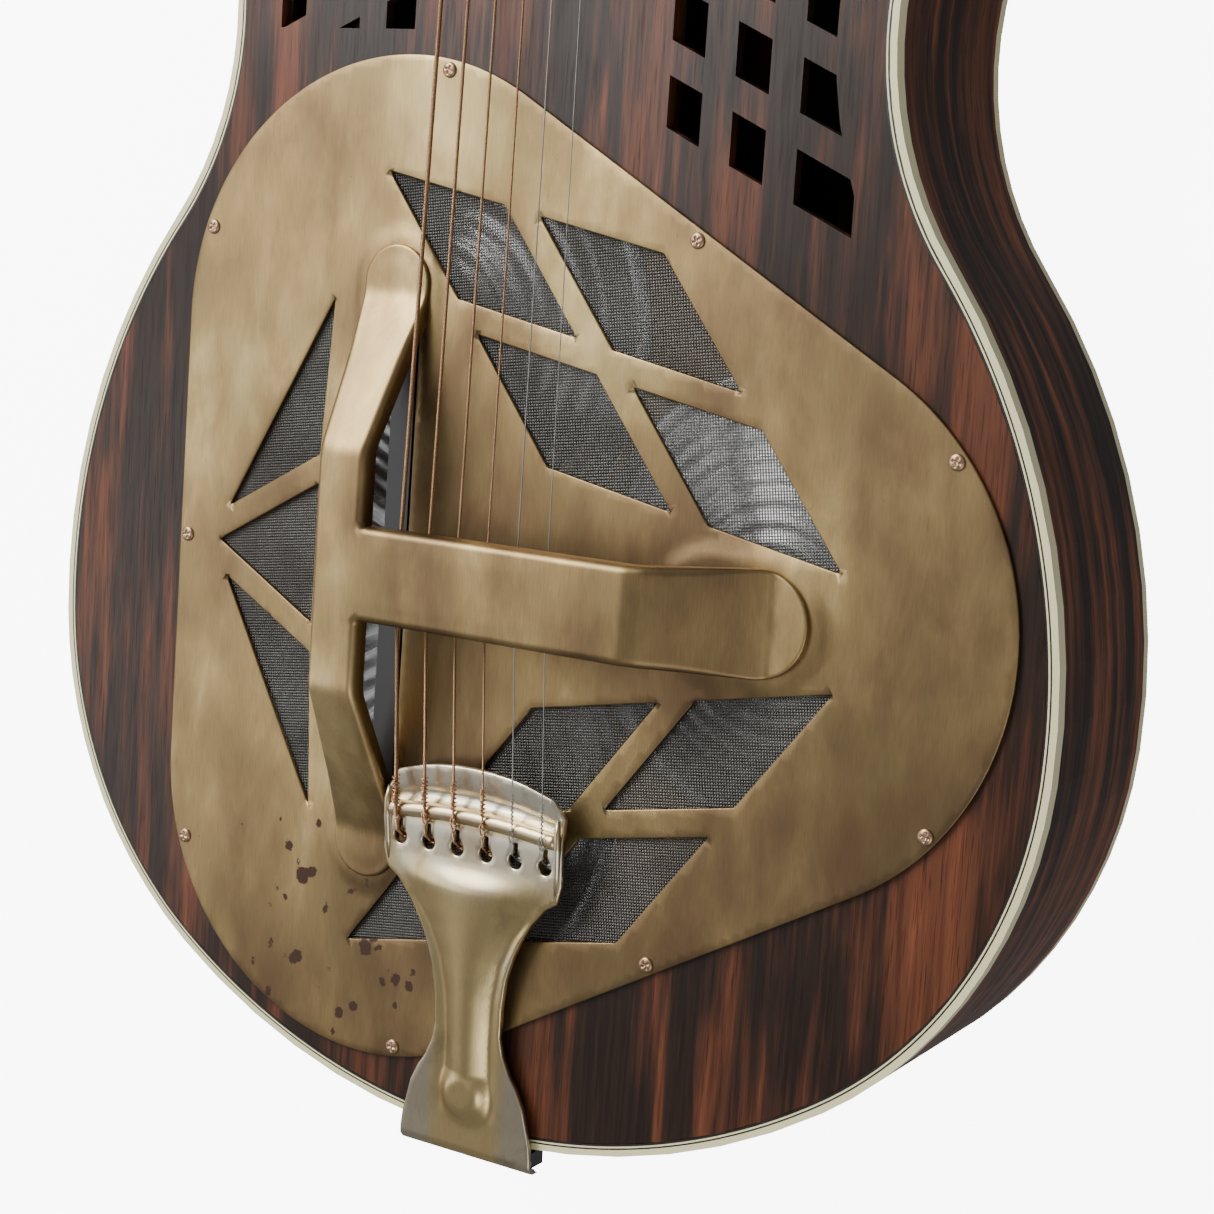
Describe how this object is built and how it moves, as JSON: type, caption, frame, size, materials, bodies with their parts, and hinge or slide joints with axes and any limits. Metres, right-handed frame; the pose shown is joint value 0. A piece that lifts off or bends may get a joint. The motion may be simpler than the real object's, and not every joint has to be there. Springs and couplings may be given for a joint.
{
  "type": "resonator guitar",
  "caption": "wood-bodied resonator guitar with a triangular aged brass coverplate, T handrest, hinged tailpiece, spun cones, T-bridge and geared tuners",
  "frame": {"origin": "on the flat back, straight under the saddle, on the string centreline", "axes": "+X to the treble side, +Y along the neck to the headstock, +Z out of the soundboard"},
  "size_m": [0.3752, 1.0075, 0.104],
  "materials": {
    "dark_wood": "satin",
    "neck_wood": "satin",
    "board_wood": "satin",
    "inner_wood": "raw",
    "binding": "satin",
    "purfling": "satin",
    "aged_brass": "brushed antique",
    "tail_brass": "satin antique",
    "screw_copper": "satin",
    "cone_alu": "spun",
    "bridge_black": "matt black",
    "bone": "satin",
    "screen_wire": "woven, dark",
    "bracket_black": "satin black",
    "nickel": "polished",
    "bronze_wire": "wound",
    "plain_steel": "polished",
    "pearl": "polished",
    "steel": "plain",
    "cover_black": "polished",
    "aged_nickel": "satin antique"
  },
  "bodies": {
    "guitar": {"back_panel": "dark_wood", "side_bass": "dark_wood", "side_treble": "dark_wood", "top_panel": "dark_wood", "top_binding": "binding", "top_purfling": "purfling", "back_binding": "binding", "top_lining": "inner_wood", "back_lining": "inner_wood", "back_braces": "inner_wood", "neck_block": "inner_wood", "tail_block": "inner_wood", "neck_stick": "inner_wood", "soundwell": "inner_wood", "well_posts": "inner_wood", "cone_treble": "cone_alu", "cone_bass_upper": "cone_alu", "cone_bass_lower": "cone_alu", "t_bridge": "bridge_black", "saddle": "bone", "coverplate": "aged_brass", "coverplate_screws": "screw_copper", "handrest": "aged_brass", "screen_upper": "screen_wire", "screen_lower": "screen_wire", "screen_bass": "screen_wire", "tailpiece_bracket": "bracket_black", "tailpiece_hinge_pin": "bracket_black", "tailpiece_screws": "bracket_black", "strap_button": "aged_nickel", "wound_strings": "bronze_wire", "plain_strings": "plain_steel", "neck": "neck_wood", "fingerboard": "board_wood", "frets": "nickel", "fret_markers": "pearl", "nut": "bone", "headstock_overlay": "dark_wood", "truss_rod": "steel", "truss_rod_cover": "cover_black", "truss_cover_screws": "aged_nickel", "tuner_bushings": "aged_nickel", "tuner_plates": "aged_nickel", "tuner_screws": "aged_nickel"},
    "tailpiece_plate": {"tailpiece": "tail_brass"},
    "rod_nut": {"truss_rod_nut": "screw_copper"},
    "button_1": {"tuner_button_1": "pearl"},
    "post_1": {"tuner_post_1": "aged_nickel"},
    "button_2": {"tuner_button_2": "pearl"},
    "post_2": {"tuner_post_2": "aged_nickel"},
    "button_3": {"tuner_button_3": "pearl"},
    "post_3": {"tuner_post_3": "aged_nickel"},
    "button_4": {"tuner_button_4": "pearl"},
    "post_4": {"tuner_post_4": "aged_nickel"},
    "button_5": {"tuner_button_5": "pearl"},
    "post_5": {"tuner_post_5": "aged_nickel"},
    "button_6": {"tuner_button_6": "pearl"},
    "post_6": {"tuner_post_6": "aged_nickel"}
  },
  "joints": [
    {"name": "tailpiece_hinge", "type": "hinge", "parent": "guitar", "child": "tailpiece_plate", "pos_m": [0, -0.1867, 0.0767], "axis": [1, 0, 0], "range_deg": [-2, 4], "deforming": ["wound_strings", "plain_strings"]},
    {"name": "truss_rod_adjust", "type": "hinge", "parent": "guitar", "child": "rod_nut", "pos_m": [0, 0.647, 0.0764], "axis": [0, 1, 0], "range_deg": [-180, 180]},
    {"name": "button_1_turn", "type": "hinge", "parent": "guitar", "child": "button_1", "pos_m": [-0.054, 0.66855, 0.0578], "axis": [1, 0, 0], "continuous": true},
    {"name": "post_1_turn", "type": "hinge", "parent": "guitar", "child": "post_1", "pos_m": [-0.021, 0.68287, 0.0745], "axis": [0, 0.225, 0.9744], "continuous": true},
    {"name": "button_2_turn", "type": "hinge", "parent": "guitar", "child": "button_2", "pos_m": [-0.054, 0.70947, 0.04835], "axis": [1, 0, 0], "continuous": true},
    {"name": "post_2_turn", "type": "hinge", "parent": "guitar", "child": "post_2", "pos_m": [-0.021, 0.7238, 0.06505], "axis": [0, 0.225, 0.9744], "continuous": true},
    {"name": "button_3_turn", "type": "hinge", "parent": "guitar", "child": "button_3", "pos_m": [-0.054, 0.75039, 0.0389], "axis": [1, 0, 0], "continuous": true},
    {"name": "post_3_turn", "type": "hinge", "parent": "guitar", "child": "post_3", "pos_m": [-0.021, 0.76472, 0.05561], "axis": [0, 0.225, 0.9744], "continuous": true},
    {"name": "button_4_turn", "type": "hinge", "parent": "guitar", "child": "button_4", "pos_m": [0.054, 0.75039, 0.0389], "axis": [1, 0, 0], "continuous": true},
    {"name": "post_4_turn", "type": "hinge", "parent": "guitar", "child": "post_4", "pos_m": [0.021, 0.76472, 0.05561], "axis": [0, 0.225, 0.9744], "continuous": true},
    {"name": "button_5_turn", "type": "hinge", "parent": "guitar", "child": "button_5", "pos_m": [0.054, 0.70947, 0.04835], "axis": [1, 0, 0], "continuous": true},
    {"name": "post_5_turn", "type": "hinge", "parent": "guitar", "child": "post_5", "pos_m": [0.021, 0.7238, 0.06505], "axis": [0, 0.225, 0.9744], "continuous": true},
    {"name": "button_6_turn", "type": "hinge", "parent": "guitar", "child": "button_6", "pos_m": [0.054, 0.66855, 0.0578], "axis": [1, 0, 0], "continuous": true},
    {"name": "post_6_turn", "type": "hinge", "parent": "guitar", "child": "post_6", "pos_m": [0.021, 0.68287, 0.0745], "axis": [0, 0.225, 0.9744], "continuous": true}
  ],
  "couplings": [
    {"joint": "post_1_turn", "follows": "button_1_turn", "ratio": -0.0625},
    {"joint": "post_2_turn", "follows": "button_2_turn", "ratio": -0.0625},
    {"joint": "post_3_turn", "follows": "button_3_turn", "ratio": -0.0625},
    {"joint": "post_4_turn", "follows": "button_4_turn", "ratio": 0.0625},
    {"joint": "post_5_turn", "follows": "button_5_turn", "ratio": 0.0625},
    {"joint": "post_6_turn", "follows": "button_6_turn", "ratio": 0.0625}
  ]
}
